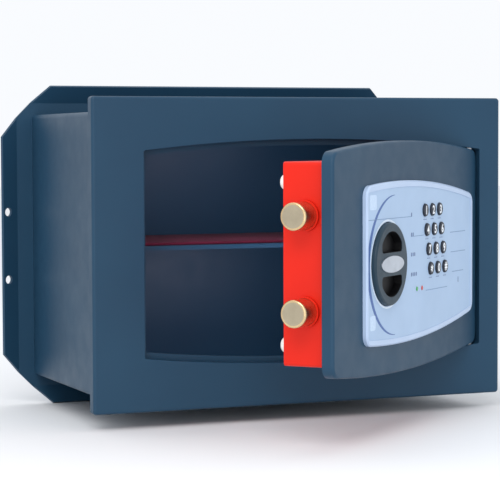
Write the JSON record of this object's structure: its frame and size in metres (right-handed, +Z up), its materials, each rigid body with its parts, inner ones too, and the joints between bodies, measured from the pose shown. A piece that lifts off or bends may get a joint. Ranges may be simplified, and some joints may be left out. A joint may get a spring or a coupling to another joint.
{
  "type": "wall safe",
  "caption": "Steel wall safe with an arched door on a concealed hinge, round bolts drawn by a turn knob, and an electronic keypad.",
  "frame": {"origin": "on the rear plate's back face, behind the middle of the front plate", "axes": "+Y into the wall, so the front plate looks along -Y; +X to the right seen from the front; +Z up"},
  "size_m": [0.4268, 0.4091, 0.2986],
  "materials": {
    "case_paint": "satin powder coat",
    "orange_paint": "satin powder coat",
    "bright_steel": "machined",
    "brass": "turned",
    "bolt_metal": "brass-plated, polished",
    "white_plastic": "moulded",
    "black_plastic": "moulded",
    "knob_plastic": "moulded",
    "key_plastic": "moulded",
    "badge_silver": "brushed",
    "panel_plastic": "moulded",
    "panel_film": "printed film",
    "board_green": "solder mask",
    "green_lens": "clear lens",
    "red_lens": "clear lens",
    "battery_jacket": "printed sleeve",
    "cable_jacket": "vinyl",
    "wine_felt": "needled felt",
    "navy_felt": "needled felt"
  },
  "bodies": {
    "housing": {"front_frame": "case_paint", "body_shell": "case_paint", "rear_plate": "case_paint", "door_stop_frame": "case_paint", "bolt_keeper": "case_paint", "shelf": "case_paint", "shelf_rails": "case_paint", "shelf_mat": "wine_felt", "floor_mat": "navy_felt"},
    "door": {"door_panel": "case_paint", "hinge_pin_upper": "bright_steel", "hinge_pin_lower": "bright_steel", "lock_case": "orange_paint", "lock_case_cover": "orange_paint", "case_studs": "bright_steel", "cap_nuts": "white_plastic", "bolt_bushes": "orange_paint", "guide_posts": "bright_steel", "guide_clips": "bright_steel", "solenoid_bracket": "bright_steel", "solenoid": "black_plastic", "spindle_bush": "brass", "control_panel": "panel_plastic", "panel_overlay": "panel_film", "keypad_board": "board_green", "led_green": "green_lens", "led_red": "red_lens", "control_board": "board_green", "board_spacers": "white_plastic", "battery_holder": "black_plastic", "batteries": "battery_jacket", "cable_keypad": "cable_jacket", "cable_battery": "cable_jacket", "cable_solenoid": "cable_jacket"},
    "bolt_carriage": {"bolt_bar": "bright_steel", "bolt_upper": "bolt_metal", "bolt_lower": "bolt_metal", "bolt_screws": "bright_steel"},
    "knob_set": {"knob": "knob_plastic", "knob_inlay_upper": "black_plastic", "knob_inlay_lower": "black_plastic", "knob_badge": "badge_silver", "knob_spindle": "bright_steel", "drive_cam": "bright_steel", "cam_pin": "bright_steel"},
    "plunger": {"plunger": "bright_steel"},
    "key_1": {"key_1": "key_plastic"},
    "key_2": {"key_2": "key_plastic"},
    "key_3": {"key_3": "key_plastic"},
    "key_4": {"key_4": "key_plastic"},
    "key_5": {"key_5": "key_plastic"},
    "key_6": {"key_6": "key_plastic"},
    "key_7": {"key_7": "key_plastic"},
    "key_8": {"key_8": "key_plastic"},
    "key_9": {"key_9": "key_plastic"},
    "key_star": {"key_star": "key_plastic"},
    "key_0": {"key_0": "key_plastic"},
    "key_hash": {"key_hash": "key_plastic"}
  },
  "joints": [
    {"name": "door_swing", "type": "hinge", "parent": "housing", "child": "door", "pos_m": [0.166, -0.2, 0], "axis": [0, 0, 1], "range_deg": [-41.25, 53.75]},
    {"name": "bolt_slide", "type": "slide", "parent": "door", "child": "bolt_carriage", "axis": [0.7518, 0.6593, 0], "range_m": [0, 0.02]},
    {"name": "knob_turn", "type": "hinge", "parent": "door", "child": "knob_set", "pos_m": [0.01463, -0.34938, -0.004], "axis": [0.6593, -0.7518, 0], "range_deg": [-90, 0]},
    {"name": "plunger_slide", "type": "slide", "parent": "door", "child": "plunger", "axis": [0, 0, 1], "range_m": [0, 0.004]},
    {"name": "key_1_press", "type": "slide", "parent": "door", "child": "key_1", "axis": [-0.6593, 0.7518, 0], "range_m": [0, 0.001], "stiffness_N_per_m": 250},
    {"name": "key_2_press", "type": "slide", "parent": "door", "child": "key_2", "axis": [-0.6593, 0.7518, 0], "range_m": [0, 0.001], "stiffness_N_per_m": 250},
    {"name": "key_3_press", "type": "slide", "parent": "door", "child": "key_3", "axis": [-0.6593, 0.7518, 0], "range_m": [0, 0.001], "stiffness_N_per_m": 250},
    {"name": "key_4_press", "type": "slide", "parent": "door", "child": "key_4", "axis": [-0.6593, 0.7518, 0], "range_m": [0, 0.001], "stiffness_N_per_m": 250},
    {"name": "key_5_press", "type": "slide", "parent": "door", "child": "key_5", "axis": [-0.6593, 0.7518, 0], "range_m": [0, 0.001], "stiffness_N_per_m": 250},
    {"name": "key_6_press", "type": "slide", "parent": "door", "child": "key_6", "axis": [-0.6593, 0.7518, 0], "range_m": [0, 0.001], "stiffness_N_per_m": 250},
    {"name": "key_7_press", "type": "slide", "parent": "door", "child": "key_7", "axis": [-0.6593, 0.7518, 0], "range_m": [0, 0.001], "stiffness_N_per_m": 250},
    {"name": "key_8_press", "type": "slide", "parent": "door", "child": "key_8", "axis": [-0.6593, 0.7518, 0], "range_m": [0, 0.001], "stiffness_N_per_m": 250},
    {"name": "key_9_press", "type": "slide", "parent": "door", "child": "key_9", "axis": [-0.6593, 0.7518, 0], "range_m": [0, 0.001], "stiffness_N_per_m": 250},
    {"name": "key_star_press", "type": "slide", "parent": "door", "child": "key_star", "axis": [-0.6593, 0.7518, 0], "range_m": [0, 0.001], "stiffness_N_per_m": 250},
    {"name": "key_0_press", "type": "slide", "parent": "door", "child": "key_0", "axis": [-0.6593, 0.7518, 0], "range_m": [0, 0.001], "stiffness_N_per_m": 250},
    {"name": "key_hash_press", "type": "slide", "parent": "door", "child": "key_hash", "axis": [-0.6593, 0.7518, 0], "range_m": [0, 0.001], "stiffness_N_per_m": 250}
  ],
  "couplings": [
    {"joint": "knob_turn", "follows": "bolt_slide", "rad_per_m": -78.5}
  ]
}
